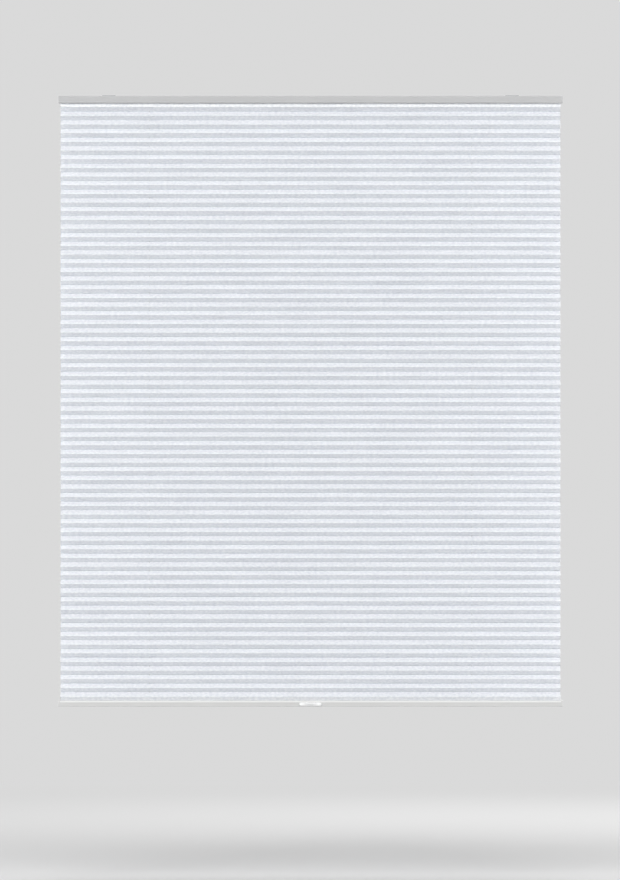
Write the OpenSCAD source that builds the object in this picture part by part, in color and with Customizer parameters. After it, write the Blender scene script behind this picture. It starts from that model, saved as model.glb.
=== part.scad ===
// Cordless pleated blind, hung by two clips from the surface above it.
// The origin lies on the fixing plane, midway along the blind and midway front to back.
// X runs along the rails, -Y faces the user and +Z is up. All sizes are millimetres.

/* [Blind] */
// Overall width across the end caps
blind_w = 1000; // [700:1:1600]
// Drop of the fabric between the flaps that are glued to its strips
fabric_drop = 1186.8; // [600:0.1:1800]
// Drop of one pleat, which gives way a little to a whole number of pleats
pleat_drop = 17.2; // [12:0.1:24]
// Width of fabric between two folds
pleat_face = 20; // [17:0.5:23]
// Thickness of the fabric
fabric_t = 0.4; // [0.3:0.05:0.6]
// Distance from the rail's end to the fabric's edge
fabric_inset = 1.5; // [0.5:0.1:8]
// Distance from the front folds back to the crease under the top strip
top_setback = 1; // [0.5:0.5:10]
// Distance from the front folds back to the crease over the bottom strip
bottom_setback = 6.5; // [0.5:0.5:10]

/* [Rails] */
// Wall of both rails
rail_wall = 1.2; // [1:0.1:1.6]
// Radius of the rails' outer corners
rail_corner = 1; // [0.5:0.1:1.4]
// Width of each lip along the top of the head rail
head_lip = 4.6; // [3.5:0.1:5.2]
// Width of each lip along the top of the bottom rail
bottom_lip = 1.7; // [1:0.1:4]
// Clear height inside the bottom rail
bottom_hollow = 6.8; // [5.8:0.1:10]
// Thickness of the strips that carry the fabric
strip_t = 1.4; // [1:0.1:2]
// Gap between the fabric's folds and the lips beside them
fold_gap = 0.6; // [0.4:0.1:1]
// Thickness of the end caps
cap_t = 2.5; // [1.5:0.1:4]
// Length of the end caps' plugs inside the rails
cap_plug = 10; // [6:0.5:16]
// Wall of the end caps' plugs
cap_wall = 1.4; // [1:0.1:2]

/* [Brackets] */
// Distance from the blind's end to the middle of a bracket
bracket_inset = 100; // [60:1:160]
// Length of a bracket along the rail
bracket_w = 26; // [20:1:40]
// Thickness of the bracket's steel
bracket_t = 1.2; // [0.8:0.1:1.6]
// Reach of the bracket's hooks under the lips
bracket_hook = 2; // [1:0.1:2.6]
// Distance between a bracket's two screw holes
screw_spacing = 9; // [7:0.5:10]
// Diameter of the screw holes
screw_d = 4.4; // [3.5:0.1:5]

/* [Spring motor] */
// Teeth on each drum's gear
gear_teeth = 20; // [18:1:24]
// Module of the gears
gear_module = 1; // [0.9:0.05:1.1]
// Thickness of the gears
gear_t = 1.8; // [1.4:0.1:3]
// Height of the drums' winding space
winding_h = 4; // [3.2:0.1:5]
// Thickness of the drums' top flanges
flange_t = 0.6; // [0.4:0.1:1]
// Distance from the gears' pitch circle in to the edge of the flange
flange_inset = 0.6; // [0.4:0.1:1.2]
// Radius of the drums' cores
core_r = 5; // [4:0.1:5.6]
// Radius of the pins that carry the drums
pin_r = 2; // [1.5:0.1:2.5]
// Thickness of the tray's side walls
tray_wall = 1.2; // [1:0.1:1.6]
// Thickness of the tray's floor and of its cover
tray_t = 1; // [0.8:0.1:1.4]
// Space between the gears and the tray's walls
gear_side_gap = 1.4; // [1.2:0.1:2]
// Thickness of the rim under the cover
cover_rim_t = 0.8; // [0.5:0.1:1]
// Height of the rim under the cover
cover_rim_h = 0.5; // [0.3:0.1:0.6]
// Height of the raised rings on the cover
cover_ring_h = 0.4; // [0.2:0.1:0.8]
// Width of the raised rings on the cover
cover_ring_w = 1.6; // [1:0.1:2.5]
// Thickness of the rolled spring on the drum that drives the spools
spring_roll = 2.8; // [1.5:0.1:3]
// Thickness of the spring's steel
spring_t = 0.3; // [0.2:0.05:0.4]

/* [Lift cords] */
// Diameter of the lift cords
cord_d = 0.8; // [0.6:0.1:1.2]
// Distance from the blind's end to a lift cord
cord_inset = 180; // [140:1:240]
// Diameter of the holes punched through the pleats
punch_d = 3; // [2.4:0.1:3.4]
// Radius of the cord rollers at the bottom of their grooves
roller_r = 2; // [1.6:0.1:2.2]
// Depth of the rollers' grooves
groove_depth = 0.8; // [0.6:0.1:1]
// Width of the rollers
roller_w = 4; // [3.4:0.1:5]
// Width of the rims beside the rollers' grooves
roller_rim = 0.5; // [0.3:0.1:0.8]
// Radius of the rollers' pins
roller_pin_r = 0.7; // [0.5:0.05:0.9]
// Thickness of the cord guides' walls
guide_wall = 1.4; // [1:0.1:1.8]
// Width of the cord guides' feet round the opening in the rail
guide_foot = 2; // [1:0.1:2.5]
// Diameter of the cord anchors' stems
anchor_d = 7; // [5:0.1:8]
// Diameter of the cord anchors' heads
anchor_head_d = 11; // [9.5:0.1:13]
// Thickness of the cord anchors' heads
anchor_head_t = 0.8; // [0.6:0.1:1.5]
// Diameter of the knot at the end of a cord
knot_d = 3; // [2.4:0.1:3.6]

/* [Bottom weight] */
// Distance from a lift cord to the end of the weight bar
weight_gap = 60; // [20:1:120]
// Width of the weight bar
weight_w = 16; // [8:0.5:19]
// Thickness of the weight bar
weight_t = 4; // [2:0.1:5]

/* [Handle] */
// Width of the pull handle
handle_w = 46; // [40:0.5:60]
// Height of the pull handle
handle_h = 7.6; // [6:0.1:9]
// Reach of the handle in front of the rail
handle_reach = 9; // [7:0.1:14]
// Depth of the finger dip in the handle's face
handle_dip = 4; // [2:0.1:5]
// Width of the finger dip
handle_dip_w = 34; // [24:0.5:38]
// Angle by which the finger dip leans out at the top
handle_lean = 15; // [0:1:40]
// Angle by which the handle points down
handle_tilt = 10; // [0:1:15]
// Diameter of the handle's two fixing pegs
peg_d = 3; // [2:0.1:3.6]
// Distance between the handle's two fixing pegs
peg_spacing = 24; // [14:0.5:28]
// Height of the barb round each peg's end
peg_barb = 0.3; // [0.2:0.1:0.5]
// Length of the barb
peg_barb_l = 1; // [0.6:0.1:1.4]

/* [Fits] */
// Sliding gap between pieces that fit into each other
slip = 0.2; // [0.1:0.05:0.3]
// Running gap of a drum or roller on its pin
running = 0.06; // [0.04:0.01:0.1]
// Gap above and below a turning drum
end_float = 0.1; // [0.05:0.05:0.2]
// Extra distance between the axes of meshing gears
mesh_gap = 0.1; // [0.05:0.01:0.15]
// Gap between the flanks of meshing teeth
backlash = 0.2; // [0.1:0.05:0.3]

/* [Hidden] */
$fn = 64;
left = -1;
right = 1;
over = 1; // how far a cutting shape runs past the face that it cuts

// Gears and drums
pressure_angle = 20;
dedendum = 1.25;
flank_steps = 4;
pitch_r = gear_teeth * gear_module / 2;
base_r = pitch_r * cos(pressure_angle);
tip_r = pitch_r + gear_module;
root_r = pitch_r - dedendum * gear_module;
flange_r = pitch_r - flange_inset;
drum_pitch = 2 * pitch_r + mesh_gap;
drum_h = gear_t + winding_h + flange_t;

// Motor box, which holds four drums in a row
drum_x = [for (i = [0:3]) (i - 1.5) * drum_pitch];
tray_in_w = 2 * (tip_r + gear_side_gap);
tray_in_l = 3 * drum_pitch + tray_in_w;
tray_in_h = drum_h + 2 * end_float;
tray_w = tray_in_w + 2 * tray_wall;
tray_l = tray_in_l + 2 * tray_wall;
motor_h = tray_in_h + 2 * tray_t;

// Head rail section: a channel for the motor above a slot for the fabric's strip
channel_w = tray_w + 2 * slip;
channel_h = motor_h + slip;
slot_h = strip_t + slip;
lip_gap = channel_w - 2 * head_lip;
head_depth = channel_w + 2 * rail_wall;
head_h = channel_h + slot_h + 3 * rail_wall;
head_top = -bracket_t;
head_bottom = head_top - head_h;
floor_top = head_top - rail_wall - channel_h;
floor_bottom = floor_top - rail_wall;
drum_bottom = floor_top + tray_t + end_float;
rail_l = blind_w - 2 * cap_t;
strip_l = rail_l - 2 * slip;

// Pleats, a whole number of them in the fabric's drop
pleat_count = round(fabric_drop / pleat_drop);
pleat_pitch = fabric_drop / pleat_count;
pleat_depth = sqrt(pow(pleat_face, 2) - pow(pleat_pitch / 2, 2));
fold_y = pleat_depth / 2 + fabric_t * pleat_face / pleat_pitch;
fold_opening = 2 * (fold_y + fold_gap);
fabric_w = rail_l - 2 * fabric_inset;
fabric_top = head_bottom + rail_wall - fabric_t;
fabric_bottom = fabric_top - fabric_drop;

// Bottom rail section: the same slot above a hollow for the weight and the cord ends
hollow_w = fold_opening + 2 * bottom_lip;
bottom_depth = hollow_w + 2 * rail_wall;
bottom_h = bottom_hollow + slot_h + 3 * rail_wall;
bottom_top = fabric_bottom - fabric_t + rail_wall;
bottom_bottom = bottom_top - bottom_h;
hollow_bottom = bottom_bottom + rail_wall;
web_bottom = hollow_bottom + bottom_hollow;
front_y = -bottom_depth / 2;

// Lift cords, from the spools along the channel, over the rollers and down through the pleats
cord_r = cord_d / 2;
cord_x = blind_w / 2 - cord_inset;
cord_y = core_r + cord_r + slip;
cord_z = drum_bottom + gear_t + winding_h / 2;
cord_bore_r = cord_r + slip;
wrap_angle = 330;
wrap_steps = 22;
turn_steps = 6;
knot_steps = 6;
cord_sides = 8;
turn_r = roller_r + cord_r + slip;
roller_x = cord_x - turn_r;
roller_z = cord_z - turn_r;
roller_tip_r = roller_r + groove_depth;
knot_z = hollow_bottom + knot_d / 2;

// Cord guides
guide_in_l = 2 * (turn_r + cord_d + slip);
guide_in_w = roller_w + 2 * slip;
guide_l = guide_in_l + 2 * guide_wall;
guide_w = guide_in_w + 2 * guide_wall;
lug_r = roller_pin_r + guide_wall;

// Brackets, weight and handle
bracket_x = blind_w / 2 - bracket_inset;
weight_l = 2 * (cord_x - weight_gap);
handle_z = hollow_bottom + bottom_hollow / 2;

// Draws a section, given as depth and height, as a bar of this length along X
module along_x(length) {
    rotate([90, 0, 90]) linear_extrude(height = length, center = true) children();
}

// Draws an outline, given as width and height, as a plate of this thickness along Y
module along_y(thickness) {
    rotate([90, 0, 0]) linear_extrude(height = thickness, center = true) children();
}

// Rectangle centred across, standing at this height
module standing_box(size, height = 0) {
    translate([-size[0] / 2, height]) square(size);
}

// Rectangle with round corners, centred across and standing on the axis
module rounded_box(size, radius) {
    standing_box([size[0] - 2 * radius, size[1]]);
    standing_box([size[0], size[1] - 2 * radius], radius);
    for (side = [left, right], height = [radius, size[1] - radius])
        translate([side * (size[0] / 2 - radius), height]) circle(radius);
}

// Upright cylinder at each lift cord, which cuts the holes that the cord passes
module at_cords(radius, bottom, top) {
    for (side = [left, right])
        translate([side * cord_x, cord_y, bottom]) cylinder(r = radius, h = top - bottom);
}

// Head rail

module head_outline() {
    rounded_box([head_depth, head_h], rail_corner);
}

module head_section() {
    slot_bottom = rail_wall;
    channel_bottom = slot_bottom + slot_h + rail_wall;
    difference() {
        head_outline();
        standing_box([channel_w, channel_h], channel_bottom);
        standing_box([lip_gap, rail_wall + 2 * over], head_h - rail_wall - over);
        standing_box([channel_w, slot_h], slot_bottom);
        standing_box([fold_opening, rail_wall + over + slot_h / 2], -over);
    }
}

module head_rail() {
    pocket = [guide_l + 2 * slip, guide_w + 2 * slip, rail_wall + slot_h];
    color("whitesmoke") difference() {
        translate([0, 0, head_bottom]) along_x(rail_l) head_section();
        for (side = [left, right])
            translate([side * roller_x, cord_y, (floor_top + floor_bottom) / 2]) cube(pocket, center = true);
    }
}

// Plate that closes a rail's end, with a hollow plug that grips inside the rail
module end_cap(side, outline_bottom, plug_size, plug_bottom) {
    plug_end = rail_l / 2 - cap_plug;
    plug_root = rail_l / 2 + cap_t / 2;
    translate([side * (blind_w - cap_t) / 2, 0, outline_bottom]) along_x(cap_t) children();
    translate([side * (plug_end + plug_root) / 2, 0, plug_bottom]) along_x(plug_root - plug_end)
        difference() {
            standing_box(plug_size);
            standing_box([plug_size[0] - 2 * cap_wall, plug_size[1] - 2 * cap_wall], cap_wall);
        }
}

module head_end_cap(side) {
    plug_size = [channel_w - 2 * slip, channel_h - 2 * slip];
    color("white") end_cap(side, head_bottom, plug_size, floor_top + slip) head_outline();
}

// Clip of bent steel that is screwed to the surface above and hooks under the rail's lips
module bracket(side) {
    leg_y = lip_gap / 2 - slip;
    leg_bottom = head_top - rail_wall - slip - bracket_t;
    color("lightgray") translate([side * bracket_x, 0, 0]) difference() {
        along_x(bracket_w) {
            standing_box([head_depth - 2 * rail_corner, bracket_t], -bracket_t);
            for (leg = [left, right]) {
                translate([leg * (leg_y - bracket_t / 2), 0])
                    standing_box([bracket_t, -leg_bottom], leg_bottom);
                translate([leg * (leg_y + (bracket_hook - bracket_t) / 2), 0])
                    standing_box([bracket_hook + bracket_t, bracket_t], leg_bottom);
            }
        }
        for (hole = [left, right])
            translate([0, hole * screw_spacing / 2, -bracket_t - over])
                cylinder(d = screw_d, h = bracket_t + 2 * over);
    }
}

// Spring motor

// Angle that an involute has turned through where it crosses this radius
function involute_turn(radius) =
    let (angle = acos(min(1, base_r / radius)))
    tan(angle) * 180 / PI - angle;

// Half the angle that a tooth takes up at this radius
function half_tooth(radius) =
    90 / gear_teeth - backlash / (4 * pitch_r) * 180 / PI
    + involute_turn(pitch_r) - involute_turn(radius);

function polar(radius, angle) = [radius * cos(angle), radius * sin(angle)];

function flank_r(step) = base_r + (tip_r - base_r) * step / flank_steps;

// Outline of the tooth at this angle, from the root up one flank and down the other
function tooth(middle) = concat(
    [polar(root_r, middle - half_tooth(base_r))],
    [for (i = [0:flank_steps]) polar(flank_r(i), middle - half_tooth(flank_r(i)))],
    [for (i = [flank_steps:-1:0]) polar(flank_r(i), middle + half_tooth(flank_r(i)))],
    [polar(root_r, middle + half_tooth(base_r))]);

// Drum number index in the row: a gear, a core to wind on and a thin top flange, on one bore.
// Every second gear is turned so that its teeth stand in its neighbours' gaps.
module geared_drum(index) {
    turned = index % 2 == 0 ? 0 : 180 + 180 / gear_teeth;
    points = [for (i = [0:gear_teeth - 1]) each tooth(turned + i * 360 / gear_teeth)];
    translate([drum_x[index], 0, drum_bottom]) difference() {
        union() {
            linear_extrude(height = gear_t) polygon(points);
            cylinder(r = core_r, h = drum_h);
            translate([0, 0, gear_t + winding_h]) cylinder(r = flange_r, h = flange_t);
        }
        translate([0, 0, -over]) cylinder(r = pin_r + running, h = drum_h + 2 * over);
    }
}

module cord_spool_left() {
    color("white") geared_drum(0);
}

module spring_storage_drum() {
    color("gainsboro") geared_drum(1);
}

module spring_drive_drum() {
    color("gainsboro") geared_drum(2);
}

module cord_spool_right() {
    color("white") geared_drum(3);
}

// Slot through both ends of the motor box, in which the cords run out to the guides
module cord_notch(bottom, top) {
    notch_w = cord_d + 4 * slip;
    translate([-tray_l / 2 - over, cord_y - notch_w / 2, bottom])
        cube([tray_l + 2 * over, notch_w, top - bottom]);
}

module motor_tray() {
    rim_z = floor_top + tray_t + tray_in_h;
    color("gray") {
        difference() {
            translate([-tray_l / 2, -tray_w / 2, floor_top]) cube([tray_l, tray_w, tray_t + tray_in_h]);
            translate([-tray_in_l / 2, -tray_in_w / 2, floor_top + tray_t])
                cube([tray_in_l, tray_in_w, tray_in_h + over]);
            cord_notch(cord_z - cord_bore_r, rim_z + over);
        }
        for (x = drum_x)
            translate([x, 0, floor_top + tray_t / 2]) cylinder(r = pin_r, h = tray_t / 2 + tray_in_h);
    }
}

// Lid of the motor, with a rim that drops inside the tray and a raised ring over each drum
module motor_cover() {
    cover_z = floor_top + tray_t + tray_in_h;
    rim_l = tray_in_l - 2 * slip;
    rim_w = tray_in_w - 2 * slip;
    color("darkgray") {
        translate([-tray_l / 2, -tray_w / 2, cover_z]) cube([tray_l, tray_w, tray_t]);
        difference() {
            translate([-rim_l / 2, -rim_w / 2, cover_z - cover_rim_h])
                cube([rim_l, rim_w, cover_rim_h + tray_t / 2]);
            translate([-rim_l / 2 + cover_rim_t, -rim_w / 2 + cover_rim_t, cover_z - cover_rim_h - over])
                cube([rim_l - 2 * cover_rim_t, rim_w - 2 * cover_rim_t, cover_rim_h + over]);
            cord_notch(cover_z - cover_rim_h - over, cover_z);
        }
        for (x = drum_x) translate([x, 0, cover_z + tray_t / 2]) difference() {
            cylinder(r = pin_r + cover_ring_w, h = tray_t / 2 + cover_ring_h);
            translate([0, 0, tray_t / 2]) cylinder(r = pin_r, h = cover_ring_h + over);
        }
    }
}

// Flat spring: rolled up on the drive drum, with its end wound the other way round the storage drum
module motor_spring() {
    inner_r = core_r + slip;
    drive_r = inner_r + spring_roll;
    storage_r = inner_r + 2 * spring_t;
    lean = asin((drive_r + storage_r - 2 * spring_t) / drum_pitch);
    color("lightsteelblue") translate([0, 0, drum_bottom + gear_t + slip])
        linear_extrude(height = winding_h - 2 * slip) {
            translate([drum_x[2], 0]) difference() {
                circle(drive_r);
                circle(inner_r);
            }
            translate([drum_x[1], 0]) difference() {
                circle(storage_r);
                circle(inner_r);
            }
            translate([(drum_x[1] + drum_x[2]) / 2, 0]) rotate(-lean)
                translate([0, (storage_r - drive_r) / 2])
                square([drum_pitch * cos(lean), spring_t], center = true);
        }
}

// Lift cords and their guides

// Frame pressed into the rail's floor, with two lugs that carry the roller's pin
module cord_guide(side) {
    color("white") translate([side * roller_x, cord_y, 0]) {
        difference() {
            union() {
                translate([0, 0, floor_top + guide_wall / 2])
                    cube([guide_l + 2 * guide_foot, guide_w + 2 * guide_foot, guide_wall], center = true);
                translate([-guide_l / 2, -guide_w / 2, floor_bottom])
                    cube([guide_l, guide_w, rail_wall + guide_wall]);
            }
            translate([-guide_in_l / 2, -guide_in_w / 2, floor_bottom - over])
                cube([guide_in_l, guide_in_w, rail_wall + guide_wall + 2 * over]);
        }
        for (cheek = [left, right])
            translate([0, cheek * (guide_w - guide_wall) / 2, 0]) difference() {
                along_y(guide_wall) {
                    standing_box([2 * lug_r, roller_z - floor_bottom], floor_bottom);
                    translate([0, roller_z]) circle(lug_r);
                }
                translate([0, 0, roller_z]) rotate([90, 0, 0])
                    cylinder(r = roller_pin_r + running, h = guide_wall + 2 * over, center = true);
            }
    }
}

module guide_pin(side) {
    color("silver") translate([side * roller_x, cord_y, roller_z]) rotate([90, 0, 0])
        cylinder(r = roller_pin_r, h = guide_w, center = true);
}

module guide_roller(side) {
    bore_r = roller_pin_r + running;
    groove_half = cord_r + slip;
    half_w = roller_w / 2;
    color("gainsboro") translate([side * roller_x, cord_y, roller_z]) rotate([90, 0, 0]) rotate_extrude()
        polygon([[bore_r, -half_w], [roller_tip_r, -half_w], [roller_tip_r, roller_rim - half_w],
            [roller_r, -groove_half], [roller_r, groove_half], [roller_tip_r, half_w - roller_rim],
            [roller_tip_r, half_w], [bore_r, half_w]]);
}

// Ring of a cord: its middle, the two directions that it lies in and its radius
function wrap_ring(angle) =
    let (out = [cos(angle), sin(angle), 0])
    [[drum_x[3], 0, cord_z] + cord_y * out, out, [0, 0, 1], cord_r];

function turn_ring(angle) =
    let (out = [cos(angle), 0, sin(angle)])
    [[roller_x, cord_y, roller_z] + turn_r * out, [0, 1, 0], out, cord_r];

function knot_ring(angle) =
    let (knot_r = knot_d / 2)
    [[cord_x, cord_y, knot_z + knot_r * cos(angle)], [0, 1, 0], [1, 0, 0], knot_r * sin(angle)];

function ring_point(ring, angle) = ring[0] + ring[3] * (cos(angle) * ring[1] + sin(angle) * ring[2]);

// Cord from its turn on the spool, along the channel, over the roller and down to its knot
module lift_cord(side) {
    knot_neck = asin(cord_d / knot_d);
    rings = concat(
        [for (i = [0:wrap_steps]) wrap_ring(90 + wrap_angle * (1 - i / wrap_steps))],
        [for (i = [0:turn_steps]) turn_ring(90 * (1 - i / turn_steps))],
        [for (i = [0:knot_steps]) knot_ring(knot_neck + (180 - 2 * knot_neck) * i / knot_steps)]);
    last = (len(rings) - 1) * cord_sides;
    points = [for (ring = rings, j = [0:cord_sides - 1]) ring_point(ring, 360 * j / cord_sides)];
    walls = [for (i = [0:cord_sides:last - 1], j = [0:cord_sides - 1])
        let (next = (j + 1) % cord_sides)
        each [[i + j, i + cord_sides + j, i + cord_sides + next], [i + j, i + cord_sides + next, i + next]]];
    ends = [[for (j = [0:cord_sides - 1]) j], [for (j = [cord_sides - 1:-1:0]) last + j]];
    color("white") mirror([side == left ? 1 : 0, 0, 0]) polyhedron(points, concat(walls, ends));
}

// Plug pressed into the bottom rail, with a well from below that holds the cord's knot
module cord_anchor(side) {
    anchor_bottom = bottom_bottom - anchor_head_t;
    well_top = knot_z + knot_d / 2;
    color("white") translate([side * cord_x, cord_y, 0]) difference() {
        translate([0, 0, anchor_bottom]) union() {
            cylinder(d = anchor_head_d, h = anchor_head_t);
            cylinder(d = anchor_d, h = web_bottom - anchor_bottom);
        }
        translate([0, 0, anchor_bottom - over])
            cylinder(d = knot_d + 2 * slip, h = well_top - anchor_bottom + over);
        translate([0, 0, well_top - over]) cylinder(r = cord_bore_r, h = web_bottom - well_top + 2 * over);
    }
}

// Fabric

module carrier_strip(width, bottom) {
    color("white") difference() {
        translate([0, 0, bottom]) along_x(strip_l) standing_box([width, strip_t]);
        at_cords(punch_d / 2, bottom - over, bottom + strip_t + over);
    }
}

module top_strip() {
    carrier_strip(channel_w - 2 * slip, head_bottom + rail_wall);
}

module bottom_strip() {
    carrier_strip(hollow_w - 2 * slip, fabric_bottom - fabric_t - strip_t);
}

// Middle of the fabric's thickness: along the top strip, from fold to fold and along the bottom strip
function fabric_line() =
    let (front = -pleat_depth / 2, top = fabric_top + fabric_t / 2, bottom = fabric_bottom - fabric_t / 2)
    concat(
        [[fold_y, top], [front + top_setback, top]],
        [for (i = [1:2 * pleat_count - 1]) [i % 2 == 1 ? front : -front, fabric_top - i * pleat_pitch / 2]],
        [[front + bottom_setback, bottom], [fold_y, bottom]]);

// Unit vector square to the stretch of a line that starts at this point
function square_to(line, i) =
    let (along = line[i + 1] - line[i])
    [along[1], -along[0]] / norm(along);

// A line moved sideways by a distance, with mitred corners
function moved_line(line, distance) = [for (i = [0:len(line) - 1])
    let (before = square_to(line, max(i - 1, 0)), after = square_to(line, min(i, len(line) - 2)))
    line[i] + distance * (before + after) / (1 + before * after)];

function backwards(line) = [for (i = [len(line) - 1:-1:0]) line[i]];

module pleated_fabric() {
    line = fabric_line();
    faces = [for (distance = [-fabric_t / 2, fabric_t / 2]) moved_line(line, distance)];
    color("aliceblue") difference() {
        along_x(fabric_w) polygon(concat(faces[0], backwards(faces[1])));
        at_cords(punch_d / 2, fabric_bottom - fabric_t - over, fabric_top + fabric_t + over, $fn = 6);
    }
}

// Bottom rail

module bottom_outline() {
    rounded_box([bottom_depth, bottom_h], rail_corner);
}

module bottom_rail() {
    slot_bottom = bottom_h - rail_wall - slot_h;
    color("whitesmoke") difference() {
        translate([0, 0, bottom_bottom]) along_x(rail_l) difference() {
            bottom_outline();
            standing_box([hollow_w, bottom_hollow], rail_wall);
            standing_box([hollow_w, slot_h], slot_bottom);
            standing_box([fold_opening, rail_wall + over + slot_h / 2], slot_bottom + slot_h / 2);
        }
        at_cords(punch_d / 2, web_bottom - over, web_bottom + rail_wall + over);
        at_cords((anchor_d + slip) / 2, bottom_bottom - over, hollow_bottom + over);
        at_pegs() cylinder(d = peg_d + slip, h = 2 * (rail_wall + over), center = true);
    }
}

module bottom_end_cap(side) {
    plug_size = [hollow_w - 2 * slip, bottom_hollow - 2 * slip];
    color("white") end_cap(side, bottom_bottom, plug_size, hollow_bottom + slip) bottom_outline();
}

// Flat steel that keeps the fabric taut
module weight_bar() {
    color("dimgray") translate([0, 0, hollow_bottom]) along_x(weight_l) standing_box([weight_w, weight_t]);
}

// Pull handle

// Puts a shape that points up at each of the handle's pegs, pointing into the rail
module at_pegs() {
    for (side = [left, right])
        translate([side * peg_spacing / 2, front_y, handle_z]) rotate([-90, 0, 0]) children();
}

// Rounded bar that swells out of the rail's front, with its ends closed by half ellipsoids
module grip_bar() {
    end_x = (handle_w - handle_h) / 2;
    difference() {
        translate([0, front_y, handle_z]) hull() for (side = [left, right])
            translate([side * end_x, 0, 0]) rotate([handle_tilt, 0, 0])
                scale([1, 2 * handle_reach / handle_h, 1]) sphere(d = handle_h, $fn = 32);
        translate([-handle_w, front_y, handle_z - handle_h])
            cube([2 * handle_w, 2 * handle_reach, 2 * handle_h]);
    }
}

// Moulded grip with a dip for a finger, held by two barbed pegs in the rail's front wall
module pull_handle() {
    dip_r = (pow(handle_dip_w / 2, 2) + pow(handle_dip, 2)) / (2 * handle_dip);
    nose_y = front_y - handle_reach * cos(handle_tilt);
    nose_z = handle_z - handle_reach * sin(handle_tilt);
    barb_at = rail_wall + slip;
    color("white") {
        difference() {
            grip_bar();
            translate([0, nose_y + handle_dip, nose_z]) rotate([handle_lean, 0, 0])
                translate([0, -dip_r, 0]) cylinder(r = dip_r, h = 3 * handle_h, center = true);
        }
        at_pegs() {
            translate([0, 0, -over]) cylinder(d = peg_d, h = over + barb_at + peg_barb_l);
            translate([0, 0, barb_at]) cylinder(d = peg_d + 2 * peg_barb, h = peg_barb_l);
        }
    }
}

head_rail();
head_end_cap(left);  // head_end_cap_left
head_end_cap(right);  // head_end_cap_right
bracket(left);  // bracket_left
bracket(right);  // bracket_right
motor_tray();
motor_cover();
cord_spool_left();
cord_spool_right();
spring_storage_drum();
spring_drive_drum();
motor_spring();
cord_guide(left);  // cord_guide_left
cord_guide(right);  // cord_guide_right
guide_roller(left);  // guide_roller_left
guide_roller(right);  // guide_roller_right
guide_pin(left);  // guide_pin_left
guide_pin(right);  // guide_pin_right
lift_cord(left);  // lift_cord_left
lift_cord(right);  // lift_cord_right
top_strip();
pleated_fabric();
bottom_strip();
bottom_rail();
bottom_end_cap(left);  // bottom_end_cap_left
bottom_end_cap(right);  // bottom_end_cap_right
cord_anchor(left);  // cord_anchor_left
cord_anchor(right);  // cord_anchor_right
weight_bar();
pull_handle();
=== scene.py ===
import math

import bmesh
import bpy
from mathutils import Matrix, Vector, noise


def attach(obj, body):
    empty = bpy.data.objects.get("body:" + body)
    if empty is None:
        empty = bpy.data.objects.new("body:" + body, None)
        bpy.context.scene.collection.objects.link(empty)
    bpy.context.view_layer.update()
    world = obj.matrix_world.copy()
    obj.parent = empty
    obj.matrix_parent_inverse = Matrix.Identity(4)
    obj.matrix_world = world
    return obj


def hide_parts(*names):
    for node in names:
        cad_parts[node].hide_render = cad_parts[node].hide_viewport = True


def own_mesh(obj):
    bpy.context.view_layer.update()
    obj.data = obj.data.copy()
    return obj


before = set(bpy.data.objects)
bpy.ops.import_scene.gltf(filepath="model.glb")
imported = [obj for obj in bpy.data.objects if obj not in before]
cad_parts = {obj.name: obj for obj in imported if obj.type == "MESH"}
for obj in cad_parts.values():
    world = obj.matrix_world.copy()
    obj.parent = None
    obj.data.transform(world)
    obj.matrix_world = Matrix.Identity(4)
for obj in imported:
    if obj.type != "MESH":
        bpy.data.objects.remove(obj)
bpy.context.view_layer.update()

# Camera
# It stands square to the blind and far off, because the photograph shows the pleats' upper
# and lower faces nearly alike from the rail to the handle.
# One picture dot spans 1.984 mm at the front folds.
view_distance, front_folds = 20.0, 0.009
dot, picture_h, sensor_h = 0.001984, 880, 24
main_camera = bpy.data.objects.new("main_camera", bpy.data.cameras.new("main_camera"))
bpy.context.scene.collection.objects.link(main_camera)
main_camera.location = (-0.001, -view_distance, -0.6837)
main_camera.rotation_euler = (math.pi / 2, 0, 0)
main_camera.data.sensor_fit = "VERTICAL"
main_camera.data.sensor_height = sensor_h
main_camera.data.lens = sensor_h / picture_h * (view_distance - front_folds) / dot
main_camera.data.clip_end = 300
bpy.context.scene.camera = main_camera
bpy.context.scene.view_settings.view_transform = "Standard"


# Lift cords
# Two braided polyester cords, each wound on a spool of the spring motor, led along the
# channel, bent down over a roller and tied off under the bottom rail.
# The run above the roller stays with the head rail, and the drop shortens as the rail lifts.
cord_r, cord_x, cord_y, cord_z = 0.0004, 0.320, 0.0056, -0.0063
spool_x, wrap_r, wrap_angle, wrap_steps = 0.03015, 0.0056, 330, 44
roller_x, roller_z, turn_r, turn_steps = 0.3174, -0.0089, 0.0026, 12
knot_z, knot_r, knot_rise, knot_steps = -1.2097, 0.0015, 2.2, 96
drop_steps, lift_travel = 12, 1.1
plait, strands_each_way = 0.0018, 4


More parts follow.
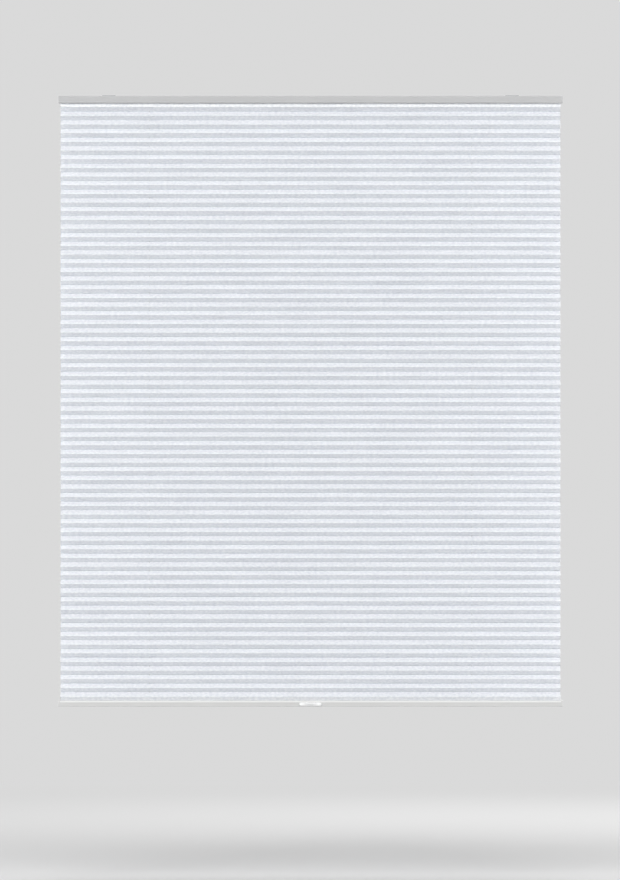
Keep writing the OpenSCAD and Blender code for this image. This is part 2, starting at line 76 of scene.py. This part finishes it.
class Field:
    """A value that varies over a finish. Arithmetic on it adds Math nodes."""

    def __init__(self, socket):
        self.socket = socket

    def node(self, kind, settings, sockets, out=0):
        """Adds a node with these settings and sockets and gives what comes out of it."""
        tree = self.socket.id_data
        made = tree.nodes.new("ShaderNode" + kind)
        for name, value in settings.items():
            setattr(made, name, value)
        for name, value in sockets.items():
            if isinstance(value, Field):
                tree.links.new(value.socket, made.inputs[name])
            else:
                made.inputs[name].default_value = value
        return Field(made.outputs[out])

    def math_node(self, operation, first, second=0.0):
        return self.node("Math", {"operation": operation}, {0: first, 1: second})

    def __add__(self, other):
        return self.math_node("ADD", self, other)

    def __sub__(self, other):
        return self.math_node("SUBTRACT", self, other)

    def __rsub__(self, other):
        return self.math_node("SUBTRACT", other, self)

    def __mul__(self, other):
        return self.math_node("MULTIPLY", self, other)

    __radd__ = __add__
    __rmul__ = __mul__

    def part(self, axis):
        """One coordinate of a place: 0 for X or U, 1 for Y or V, 2 for Z."""
        return self.node("SeparateXYZ", {}, {0: self}, out=axis)

    def speckle(self, across, detail=2.0, stretch=(1, 1, 1)):
        """Cloudy noise, with lumps of about this size in metres."""
        place = self.node("Mapping", {}, {"Vector": self, "Scale": stretch})
        return self.node("TexNoise", {}, {"Vector": place, "Scale": 1 / across, "Detail": detail})

    def ramp(self, start, end):
        """Goes smoothly from 0 to 1 as the value goes from start to end."""
        return self.node("MapRange", {"interpolation_type": "SMOOTHSTEP"},
                         {"Value": self, "From Min": start, "From Max": end})

    def between(self, low, high):
        """Colour that goes from low to high as the value goes from 0 to 1."""
        first, second = [end if isinstance(end, Field) else (*end, 1) for end in (low, high)]
        return self.node("Mix", {"data_type": "RGBA"}, {0: self, 6: first, 7: second}, out=2)

    def relief(self, depth, strength=1.0):
        return self.node("Bump", {}, {"Height": self, "Distance": depth, "Strength": strength})


def new_finish(name, place_from="Object", **fixed):
    """Material with these fixed values, its shader and the place on the piece."""
    finish = bpy.data.materials.new(name)
    finish.use_nodes = True
    shader = finish.node_tree.nodes["Principled BSDF"]
    for socket, value in fixed.items():
        shader.inputs[socket.replace("_", " ")].default_value = value
    place = Field(finish.node_tree.nodes.new("ShaderNodeTexCoord").outputs[place_from])
    return finish, shader, place


def feed(shader, **varying):
    for socket, field in varying.items():
        shader.id_data.links.new(field.socket, shader.inputs[socket.replace("_", " ")])


def new_piece(name, shape, body, finish):
    """Smooth visible piece that moves with a body."""
    mesh = bpy.data.meshes.new(name)
    shape.to_mesh(mesh)
    shape.free()
    for polygon in mesh.polygons:
        polygon.use_smooth = True
    mesh.materials.append(finish)
    piece = bpy.data.objects.new(name, mesh)
    bpy.context.scene.collection.objects.link(piece)
    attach(piece, body)
    return piece


def braid_tube(stations, radius, side, closed=False):
    """Tube through stations of (centre, first side vector, second side vector)."""
    sides = 10
    shape = bmesh.new()
    along_cord = shape.loops.layers.uv.new("along_cord")
    bmesh.ops.create_grid(shape, x_segments=len(stations) - 1, y_segments=sides, size=1)
    lengths = [0.0]
    for before, after in zip(stations, stations[1:]):
        lengths.append(lengths[-1] + (after[0] - before[0]).length)
    grid = {}
    for vertex in shape.verts:
        i = round((vertex.co.x + 1) / 2 * (len(stations) - 1))
        j = round((vertex.co.y + 1) / 2 * sides)
        grid[vertex.index] = (lengths[i], j / sides)
        centre, first, second = stations[i]
        turn = 2 * math.pi * j / sides
        place = centre + radius * (math.cos(turn) * first + math.sin(turn) * second)
        vertex.co = (side * place.x, place.y, place.z)
    for face in shape.faces:
        for loop in face.loops:
            loop[along_cord].uv = grid[loop.vert.index]
    bmesh.ops.remove_doubles(shape, verts=shape.verts, dist=radius / 50)
    if not closed:
        bmesh.ops.holes_fill(shape, edges=[edge for edge in shape.edges if edge.is_boundary])
    bmesh.ops.recalc_face_normals(shape, faces=shape.faces)
    return shape


cord_finish, cord_shader, cord_place = new_finish(
    "braided_cord", "UV", Roughness=0.75, Specular_IOR_Level=0.3, Sheen_Weight=0.3)
cord_length = cord_place.part(0) * (1 / plait)
cord_turn = cord_place.part(1) * strands_each_way
right_strand = cord_length.math_node("SINE", (cord_length + cord_turn) * (2 * math.pi))
left_strand = cord_length.math_node("SINE", (cord_length - cord_turn) * (2 * math.pi))
braid_bump_and_painted_groove_shade = cord_length.math_node("MAXIMUM", right_strand, left_strand) * 0.5 + 0.5
# Painted shade: the grooves between the braid's strands are coloured darker; the same pattern gives the
# bump.
feed(cord_shader,
     Base_Color=braid_bump_and_painted_groove_shade.between((0.52, 0.52, 0.51), (0.82, 0.82, 0.80)),
     Normal=braid_bump_and_painted_groove_shade.relief(0.00008))

across_x, across_y, up = Vector((1, 0, 0)), Vector((0, 1, 0)), Vector((0, 0, 1))
for name, side in (("left", -1), ("right", 1)):
    run_stations = []
    for i in range(wrap_steps + 1):
        angle = math.radians(90 + wrap_angle * (1 - i / wrap_steps))
        out = Vector((math.cos(angle), math.sin(angle), 0))
        run_stations.append((Vector((spool_x, 0, cord_z)) + wrap_r * out, out, up))
    for i in range(turn_steps + 1):
        angle = math.radians(90 * (1 - i / turn_steps))
        out = Vector((math.cos(angle), 0, math.sin(angle)))
        run_stations.append((Vector((roller_x, cord_y, roller_z)) + turn_r * out, across_y, out))
    new_piece("cord_run_" + name, braid_tube(run_stations, cord_r, side),
              "head", cord_finish)

    drop_top = Vector((cord_x, cord_y, roller_z))
    drop_end = Vector((cord_x, cord_y, knot_z + knot_r - cord_r))
    drop_stations = []
    for i in range(drop_steps + 1):
        drop_stations.append((drop_top.lerp(drop_end, i / drop_steps), across_y, across_x))
    drop = new_piece("cord_drop_" + name, braid_tube(drop_stations, cord_r, side),
                     "head", cord_finish)
    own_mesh(drop)

    knot_stations = []
    bend = (knot_r - cord_r) / 3
    for i in range(knot_steps + 1):
        t = 2 * math.pi * i / knot_steps
        spread = 2 + math.cos(3 * t)
        centre = Vector((
            spread * math.cos(2 * t),
            spread * math.sin(2 * t),
            knot_rise * math.sin(3 * t))) * bend
        ahead = Vector((
            -2 * spread * math.sin(2 * t) - 3 * math.sin(3 * t) * math.cos(2 * t),
            2 * spread * math.cos(2 * t) - 3 * math.sin(3 * t) * math.sin(2 * t),
            3 * knot_rise * math.cos(3 * t))).normalized()
        first = ahead.cross(up).normalized()
        knot_stations.append((Vector((cord_x, cord_y, knot_z)) + centre, first, ahead.cross(first)))
    knot = new_piece("cord_knot_" + name, braid_tube(knot_stations, cord_r, side, closed=True),
                     "bottom", cord_finish)
    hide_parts("lift_cord_" + name)


# Head rail
# A slim aluminium extrusion with a pale grey powder coat, sawn to length. Its tone is darker than the
# bottom rail's coat:
# painted shade, since both rails have one finish. The motor drops into its open top channel, and a slot
# in its underside takes the fabric's strip.
def coat(finish, *nodes):
    """Gives solids from the frame a finish."""
    for node in nodes:
        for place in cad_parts[node].material_slots:
            place.material = finish


def powder_coat(name, low, high):
    finish, shader, place = new_finish(name, Specular_IOR_Level=0.35)
    peel = place.speckle(0.0011)
    die_lines = place.speckle(0.0006, 1.0, (0.01, 1, 1))
    drift = place.speckle(0.09, 3.0)
    tone = (drift * 0.7 + peel * 0.3).between(low, high)
    feed(shader,
         Base_Color=tone,
         Roughness=0.50 + peel * 0.14 + drift * 0.08,
         Normal=(peel * 0.8 + die_lines * 0.2).relief(0.00006, 0.6))
    return finish, shader, place, tone


# Painted shade: this copy of the rails' coat is toned darker than the bottom rail's.
head_coat_painted_shade, *_ = powder_coat("head_coat_painted_shade", (0.44, 0.443, 0.447), (0.496, 0.499, 0.502))
coat(head_coat_painted_shade, "head_rail")


# End caps
# Injection-moulded caps close both rails. A hollow plug grips inside the channel, and the
# outer face has the fine spark-eroded grain of its mould.
# Painted shade: the head caps are toned darker than the bottom caps, like the head rail's coat.
for rail, low, high in (
        ("head", (0.44, 0.443, 0.447), (0.51, 0.513, 0.516)),
        ("bottom", (0.54, 0.543, 0.537), (0.62, 0.623, 0.616))):
    cap_finish, cap_shader, cap_place = new_finish(rail + "_cap_moulding", Specular_IOR_Level=0.4)
    mould_grain = cap_place.speckle(0.0005, 3.0)
    cap_cloud = cap_place.speckle(0.012, 2.0)
    feed(cap_shader,
         Base_Color=(cap_cloud * 0.6 + mould_grain * 0.4).between(low, high),
         Roughness=0.50 + mould_grain * 0.2,
         Normal=mould_grain.relief(0.00005, 0.7))
    coat(cap_finish, rail + "_end_cap_left", rail + "_end_cap_right")


# Brackets
# Two clips stamped from sprung steel and zinc plated. They are screwed to the surface above,
# and the rail snaps into their hooks. The pins of the cord rollers have the same plating.
zinc_finish, zinc_shader, zinc_place = new_finish("zinc_plate", Metallic=1.0)
rolled = zinc_place.speckle(0.0009, 3.0, (1, 0.06, 1))
passivate = zinc_place.speckle(0.007, 3.0)
feed(zinc_shader,
     Base_Color=passivate.between((0.24, 0.25, 0.26), (0.36, 0.365, 0.365)),
     Roughness=0.52 + rolled * 0.14 + passivate * 0.1,
     Normal=rolled.relief(0.00003, 0.5))
coat(zinc_finish, "bracket_left", "bracket_right", "guide_pin_left", "guide_pin_right")


# Spring motor
# A moulded box with four geared drums in a row. Two are cord spools, and between the other
# two runs a strip of spring steel that balances the weight of the blind.
# The drums and the cord rollers are moulded from the same slippery acetal.
box_finish, box_shader, box_place = new_finish("motor_box", Specular_IOR_Level=0.4)
box_grain = box_place.speckle(0.0006, 3.0)
flow_marks = box_place.speckle(0.02, 2.0, (1, 0.4, 1))
feed(box_shader,
     Base_Color=(flow_marks * 0.6 + box_grain * 0.4).between((0.20, 0.205, 0.21), (0.29, 0.295, 0.30)),
     Roughness=0.40 + box_grain * 0.25,
     Normal=box_grain.relief(0.00005, 0.8))
coat(box_finish, "motor_tray", "motor_cover")

acetal_finish, acetal_shader, acetal_place = new_finish(
    "acetal", Specular_IOR_Level=0.5, Subsurface_Weight=0.05)
machine_haze = acetal_place.speckle(0.004, 3.0)
acetal_grain = acetal_place.speckle(0.0004, 2.0)
feed(acetal_shader,
     Base_Color=machine_haze.between((0.72, 0.715, 0.68), (0.83, 0.825, 0.79)),
     Roughness=0.28 + acetal_grain * 0.15,
     Normal=acetal_grain.relief(0.00002, 0.6))
coat(acetal_finish, "cord_spool_left", "cord_spool_right", "spring_storage_drum", "spring_drive_drum",
     "guide_roller_left", "guide_roller_right")

steel_finish, steel_shader, steel_place = new_finish("spring_strip", Metallic=1.0)
temper = steel_place.speckle(0.005, 3.0)
roll_lines = steel_place.speckle(0.0003, 2.0, (0.05, 0.05, 1))
feed(steel_shader,
     Base_Color=temper.between((0.30, 0.33, 0.40), (0.46, 0.47, 0.50)),
     Roughness=0.22 + roll_lines * 0.2,
     Normal=roll_lines.relief(0.00002, 0.6))
coat(steel_finish, "motor_spring")


# Cord guides and anchors
# Moulded guides are pressed into the head rail's floor. Each carries a roller on a steel pin,
# over which the cord turns down into the fabric.
# Plugs of the same plastic in the bottom rail hold the cords' knots.
guide_finish, guide_shader, guide_place = new_finish("guide_moulding", Specular_IOR_Level=0.45)
guide_grain = guide_place.speckle(0.0005, 3.0)
feed(guide_shader,
     Base_Color=guide_grain.between((0.70, 0.70, 0.69), (0.80, 0.80, 0.79)),
     Roughness=0.38 + guide_grain * 0.2,
     Normal=guide_grain.relief(0.00004, 0.7))
coat(guide_finish, "cord_guide_left", "cord_guide_right", "cord_anchor_left", "cord_anchor_right")


# Carrier strips
# Flat extruded strips to which the fabric's first and last flaps are glued. They slide into
# the rails' slots from the end before the caps go on.
strip_finish, strip_shader, strip_place = new_finish("strip_extrusion", Specular_IOR_Level=0.5)
draw_lines = strip_place.speckle(0.0007, 2.0, (0.008, 1, 1))
strip_cloud = strip_place.speckle(0.03, 2.0)
feed(strip_shader,
     Base_Color=(draw_lines * 0.4 + strip_cloud * 0.6).between((0.72, 0.73, 0.74), (0.82, 0.825, 0.83)),
     Roughness=0.26 + draw_lines * 0.2,
     Normal=draw_lines.relief(0.00003, 0.6))
coat(strip_finish, "top_strip", "bottom_strip")


# Pleated fabric
# One length of bluish-white crepe polyester, heat-set into 69 pleats and punched for the
# cords. Its first and last flaps are glued to the strips, and between them it hangs freely.
sheet_half_w, sheet_t, crease_t = 0.496, 0.0004, 0.00095
pleats, half_drop, fold_reach = 69, 0.0086, 0.00903
sheet_top, sheet_bottom = -0.0144, -1.2012
flap_edge, top_crease, bottom_crease = 0.0094, -0.00803, -0.00253
crease_edge, crease_foot, crease_reach = 0.0006, 0.0016, 0.001
wander_y, wander_z, swell_depth = 0.00018, 0.00025, 0.00016
punch_r, punch_margin, column_count = 0.0008, 0.003, 32
slant = punch_r * math.sqrt(0.5)

creases = [(flap_edge, sheet_top + sheet_t / 2), (top_crease, sheet_top + sheet_t / 4)]
for fold in range(1, 2 * pleats):
    creases.append((-fold_reach if fold % 2 else fold_reach, sheet_top - fold * half_drop))
creases += [(bottom_crease, sheet_bottom - sheet_t / 4), (flap_edge, sheet_bottom - sheet_t / 2)]

columns = [sheet_half_w * (2 * i / column_count - 1) for i in range(column_count + 1)]
for cord in (-cord_x, cord_x):
    columns += [cord - slant, cord, cord + slant]
columns.sort()

# Each row is the number of its face, the distance down that face, the face's width, the
# distance down to the cords' holes, if it has any, and the cloth used up before the face.
rows, run = [], 0.0
for number, (start, end) in enumerate(zip(creases, creases[1:])):
    width = math.dist(start, end)
    punch = width * (start[0] - cord_y) / (start[0] - end[0])
    marks = [0.0, crease_edge, crease_foot, width - crease_foot, width - crease_edge]
    if punch_margin < punch < width - punch_margin:
        on_long_side = 0.011 if punch < width / 2 else 0.009
        marks += [punch - slant, punch, punch + slant, on_long_side]
    else:
        punch = None
        marks += [width / 3, width * 2 / 3]
    rows += [(number, s, width, punch, run) for s in sorted(marks)]
    run += width
rows.append((number, width, width, None, run - width))


def crease_place(number, x):
    """Where a crease runs at x. It wanders by a fraction of a millimetre along its length."""
    y, z = creases[number]
    if 1 < number < len(creases) - 2:
        y += wander_y * noise.noise((x * 9, number * 3.1, 1.0))
        z += wander_z * noise.noise((x * 11, number * 5.3, 7.0))
    return Vector((x, y, z))


def sheet_place(number, share, x):
    """Point of the cloth between two creases. Each face swells out a little between them."""
    start, end = crease_place(number, x), crease_place(number + 1, x)
    if not 0 < number < len(creases) - 2:
        return start.lerp(end, share)
    normal = Vector((0, end.z - start.z, start.y - end.y)).normalized()
    swell = swell_depth * (1 + noise.noise((x * 14, number * 4.7, 11.0))) * math.sin(math.pi * share)
    return start.lerp(end, share) + normal * swell * (1 if normal.z > 0 else -1)


def thickness_share(number, s, width):
    """A crease is as thick as its two layers and the loop between them."""
    nearest = number if s < width / 2 else number + 1
    creased = min(s, width - s) < crease_reach and 1 < nearest < len(creases) - 2
    return 1.0 if creased else sheet_t / crease_t


def mix_shaders(tree, output, share, first, second):
    """Sends a mix of two shaders to an output, with this share of the second."""
    mix = tree.nodes.new("ShaderNodeMixShader")
    if isinstance(share, Field):
        tree.links.new(share.socket, mix.inputs[0])
    else:
        mix.inputs[0].default_value = share
    tree.links.new(first.outputs[0], mix.inputs[1])
    tree.links.new(second.outputs[0], mix.inputs[2])
    tree.links.new(mix.outputs[0], tree.nodes[output].inputs["Surface"])


sheet = bmesh.new()
weave = sheet.loops.layers.uv.new("flat_cloth")
bulk = sheet.verts.layers.deform.verify()
bmesh.ops.create_grid(sheet, x_segments=len(columns) - 1, y_segments=len(rows) - 1, size=1)
flat_place, punched = {}, []
for vertex in sheet.verts:
    i = round((vertex.co.x + 1) / 2 * (len(columns) - 1))
    j = round((1 - vertex.co.y) / 2 * (len(rows) - 1))
    x, (number, s, width, punch, run_before) = columns[i], rows[j]
    for cord in (-cord_x, cord_x):
        aside, along = x - cord, 1.0 if punch is None else s - punch
        if abs(aside) < 1.1 * slant and abs(along) < 1.1 * slant:
            if max(abs(aside), abs(along)) < slant / 2:
                punched.append(vertex)
            elif min(abs(aside), abs(along)) < slant / 2:
                x, s = cord + aside * math.sqrt(2), punch + along * math.sqrt(2)
    vertex.co = sheet_place(number, s / width, x)
    vertex[bulk][0] = thickness_share(number, s, width)
    flat_place[vertex.index] = (x, run_before + s)
for face in sheet.faces:
    for loop in face.loops:
        loop[weave].uv = flat_place[loop.vert.index]
bmesh.ops.delete(sheet, geom=punched, context="VERTS")
# Cut edges are sharp, so that their rims don't shade the wide faces beside them.
for edge in sheet.edges:
    edge.smooth = not edge.is_boundary
bmesh.ops.recalc_face_normals(sheet, faces=sheet.faces)

crepe_finish, crepe_shader, crepe_place = new_finish(
    "crepe_cloth", "UV", Specular_IOR_Level=0.15, Sheen_Weight=0.12, Sheen_Roughness=0.4)
crinkle = crepe_place.speckle(0.0065, 4.0)
slub = crepe_place.speckle(0.0018, 2.0, (0.3, 1, 1))
wash = crepe_place.speckle(0.11, 3.0)
mottle = crinkle * 0.62 + slub * 0.30 + wash * 0.08
feed(crepe_shader,
     Base_Color=((mottle - 0.5) * 4.2 + 0.5).between((0.812, 0.832, 0.874), (0.967, 0.98, 0.998)),
     Roughness=0.72 + crinkle * 0.2,
     Normal=(crinkle * 0.7 + slub * 0.3).relief(0.0008, 0.6))
light_through = 0.06
glow = crepe_finish.node_tree.nodes.new("ShaderNodeBsdfTranslucent")
glow.inputs["Color"].default_value = (0.88, 0.895, 0.93, 1)
mix_shaders(crepe_finish.node_tree, "Material Output", light_through, crepe_shader, glow)

pleated_sheet = new_piece("pleated_sheet", sheet, "head", crepe_finish)
pleated_sheet.vertex_groups.new(name="crease_bulk")
thickness = pleated_sheet.modifiers.new("cloth_thickness", "SOLIDIFY")
thickness.thickness = crease_t
thickness.vertex_group = "crease_bulk"
thickness.offset = 0
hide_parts("pleated_fabric")
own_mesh(pleated_sheet)


# Bottom rail
# An aluminium extrusion like the head rail, with the same coat toned paler than the head rail's
# painted-shade copy,
# and a painted highlight: a pale line along its shoulder. A flat steel bar lies inside it and keeps the
# pleats taut.
shoulder_z, shoulder_half_h, shoulder_fade = -1.2028, 0.0010, 0.0014
bottom_coat, bottom_shader, bottom_place, bottom_tone = powder_coat(
    "bottom_coat", (0.542, 0.545, 0.539), (0.599, 0.602, 0.595))
# Painted highlight: a paler stripe about 2 mm high along the rail's shoulder stands in for light caught
# by its top edge.
height = bottom_place.part(2)
off_shoulder = height.math_node("ABSOLUTE", height - shoulder_z)
painted_highlight_line = 1 - off_shoulder.ramp(shoulder_half_h, shoulder_fade)
feed(bottom_shader, Base_Color=painted_highlight_line.between(bottom_tone, (0.76, 0.763, 0.758)))
coat(bottom_coat, "bottom_rail")

bar_finish, bar_shader, bar_place = new_finish("weight_steel", Metallic=0.9)
scale_patches = bar_place.speckle(0.006, 4.0, (0.4, 1, 1))
bar_lines = bar_place.speckle(0.0005, 2.0, (0.03, 1, 1))
feed(bar_shader,
     Base_Color=scale_patches.between((0.24, 0.245, 0.25), (0.44, 0.44, 0.43)),
     Roughness=0.38 + scale_patches * 0.2,
     Normal=bar_lines.relief(0.00004, 0.6))
coat(bar_finish, "weight_bar")


# Pull handle
# A small glossy white moulding, a half-round bar with a dip that fingers have dulled, and painted shade
# darkens the dip's colour.
# Two pegs on its back snap into holes in the bottom rail's front wall.
grip_half_l, grip_h, grip_reach = 0.023, 0.0076, 0.009
grip_back, grip_z, grip_tilt = -0.01299, -1.2078, math.radians(10)
dip, dip_half_w, dip_lean, dip_edge = 0.004, 0.017, math.radians(15), 0.0009
peg_x, peg_r, peg_l, peg_root = 0.012, 0.0015, 0.0024, 0.0002
dip_r = (dip_half_w ** 2 + dip ** 2) / (2 * dip)
nose_y, nose_z = -grip_reach * math.cos(grip_tilt), -grip_reach * math.sin(grip_tilt)

grip = bmesh.new()
bmesh.ops.create_uvsphere(grip, u_segments=32, v_segments=17, radius=1,
                          matrix=Matrix.Rotation(math.pi / 2, 4, "Y"))
bmesh.ops.scale(grip, verts=grip.verts, vec=(grip_h / 2, grip_reach, grip_h / 2))
for vertex in grip.verts:
    vertex.co.x += math.copysign(grip_half_l - grip_h / 2, vertex.co.x)
bar_edges = [edge for edge in grip.edges if edge.calc_length() > grip_half_l]
bmesh.ops.subdivide_edges(grip, edges=bar_edges, cuts=36, use_grid_fill=True)
bmesh.ops.rotate(grip, verts=grip.verts, cent=(0, 0, 0), matrix=Matrix.Rotation(grip_tilt, 3, "X"))
bmesh.ops.bisect_plane(grip, geom=grip.verts[:] + grip.edges[:] + grip.faces[:], dist=1e-7,
                       plane_co=(0, 0, 0), plane_no=(0, 1, 0), clear_outer=True)
# The dip's surface cuts into the bar, with its edge eased.
for vertex in grip.verts:
    x, y, z = vertex.co
    hollow = nose_y + dip - dip_r + math.sqrt(dip_r ** 2 - x ** 2) - math.tan(dip_lean) * (z - nose_z)
    gap = y - hollow
    eased = hollow + (gap + math.sqrt(gap ** 2 + dip_edge ** 2)) / 2 - dip_edge / 4
    vertex.co.y = 0.0 if y > -1e-6 else eased
bmesh.ops.holes_fill(grip, edges=[edge for edge in grip.edges if edge.is_boundary])
for side in (-1, 1):
    bmesh.ops.create_cone(grip, cap_ends=True, segments=24, radius1=peg_r, radius2=peg_r, depth=peg_l,
                          matrix=Matrix.Translation((side * peg_x, peg_l / 2 - peg_root, 0))
                          @ Matrix.Rotation(-math.pi / 2, 4, "X"))
bmesh.ops.translate(grip, verts=grip.verts, vec=(0, grip_back, grip_z))
bmesh.ops.recalc_face_normals(grip, faces=grip.faces)

grip_finish, grip_shader, grip_place = new_finish(
    "glossy_grip", Specular_IOR_Level=0.5, Coat_Weight=0.5, Coat_Roughness=0.06)
sink = grip_place.speckle(0.006, 2.0)
handling = grip_place.speckle(0.0012, 3.0)
from_middle = grip_place.part(0)
clear_of_painted_dip_shade_and_wear = from_middle.math_node("ABSOLUTE", from_middle).ramp(0.003, dip_half_w)
# Painted shade: the dip's colour is darker towards the middle; its rougher gloss is finger wear.
feed(grip_shader,
     Base_Color=(clear_of_painted_dip_shade_and_wear * 0.8 + sink * 0.2).between((0.64, 0.643, 0.645), (0.87, 0.873, 0.873)),
     Roughness=0.30 - clear_of_painted_dip_shade_and_wear * 0.16 + handling * 0.08,
     Normal=handling.relief(0.00002, 0.5))
pull_grip = new_piece("pull_grip", grip, "bottom", grip_finish)
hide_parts("pull_handle")


# Floor and light
# A pale floor under the blind, one wide soft lamp in front, weaker ones overhead, behind and
# close to the two ends, and even light all round.
# Far off, the floor fades into a plain backdrop.
floor_z, floor_half_w, fade_start, fade_end = -1.56, 120, 1.9, 6.0
backdrop_tone = (0.70, 0.70, 0.70, 1)


def seen_directly(tree):
    """1 for what the camera sees, straight, reflected or through cloth, 0 for what only lights."""
    ray = tree.nodes.new("ShaderNodeLightPath")
    seen = Field(ray.outputs["Is Camera Ray"])
    for other in ("Is Glossy Ray", "Is Transmission Ray"):
        seen = seen.math_node("MAXIMUM", seen, Field(ray.outputs[other]))
    return seen


floor_shape = bmesh.new()
bmesh.ops.create_grid(floor_shape, x_segments=1, y_segments=1, size=floor_half_w,
                      matrix=Matrix.Translation((0, 0, floor_z)))
floor_mesh = bpy.data.meshes.new("pale_floor")
floor_shape.to_mesh(floor_mesh)
floor_shape.free()
pale_floor = bpy.data.objects.new("pale_floor", floor_mesh)
bpy.context.scene.collection.objects.link(pale_floor)
floor_finish, floor_shader, floor_place = new_finish(
    "pale_floor", Base_Color=(0.62, 0.62, 0.62, 1), Roughness=0.9, Specular_IOR_Level=0.0)
floor_mesh.materials.append(floor_finish)
from_blind = floor_place.node("VectorMath", {"operation": "LENGTH"}, {0: floor_place}, out=1)
floor_tree = floor_finish.node_tree
floor_glow = floor_tree.nodes.new("ShaderNodeEmission")
floor_glow.inputs["Color"].default_value = backdrop_tone
far_off = from_blind.ramp(fade_start, fade_end) * seen_directly(floor_tree)
mix_shaders(floor_tree, "Material Output", far_off, floor_shader, floor_glow)

surround = bpy.data.worlds.new("surround")
bpy.context.scene.world = surround
surround.use_nodes = True
surround_tree = surround.node_tree
even_light = surround_tree.nodes["Background"]
even_light.inputs["Color"].default_value = (1, 1, 1, 1)
even_light.inputs["Strength"].default_value = 0.045
backdrop = surround_tree.nodes.new("ShaderNodeBackground")
backdrop.inputs["Color"].default_value = backdrop_tone
mix_shaders(surround_tree, "World Output", seen_directly(surround_tree), even_light, backdrop)

blind_middle = Vector((0, 0, -0.6))
for name, place, wide, high, watts in (
        ("soft_front", (-1.1, -16.6, 6.3), 9.0, 15.0, 2900),
        ("soft_back", (1.2, 5.0, 2.0), 3.0, 3.0, 260),
        ("soft_top", (0.0, -0.5, 4.0), 3.0, 3.0, 85),
        ("soft_left", (-0.9, 0.1, -0.6), 1.0, 2.6, 4.2),
        ("soft_right", (0.9, 0.1, -0.6), 1.0, 2.6, 4.2)):
    lamp = bpy.data.objects.new(name, bpy.data.lights.new(name, "AREA"))
    bpy.context.scene.collection.objects.link(lamp)
    lamp.visible_camera = False
    lamp.data.shape = "ELLIPSE"
    lamp.data.size = wide
    lamp.data.size_y = high
    lamp.data.energy = watts
    lamp.location = place
    lamp.rotation_euler = (blind_middle - lamp.location).to_track_quat("-Z", "Y").to_euler()
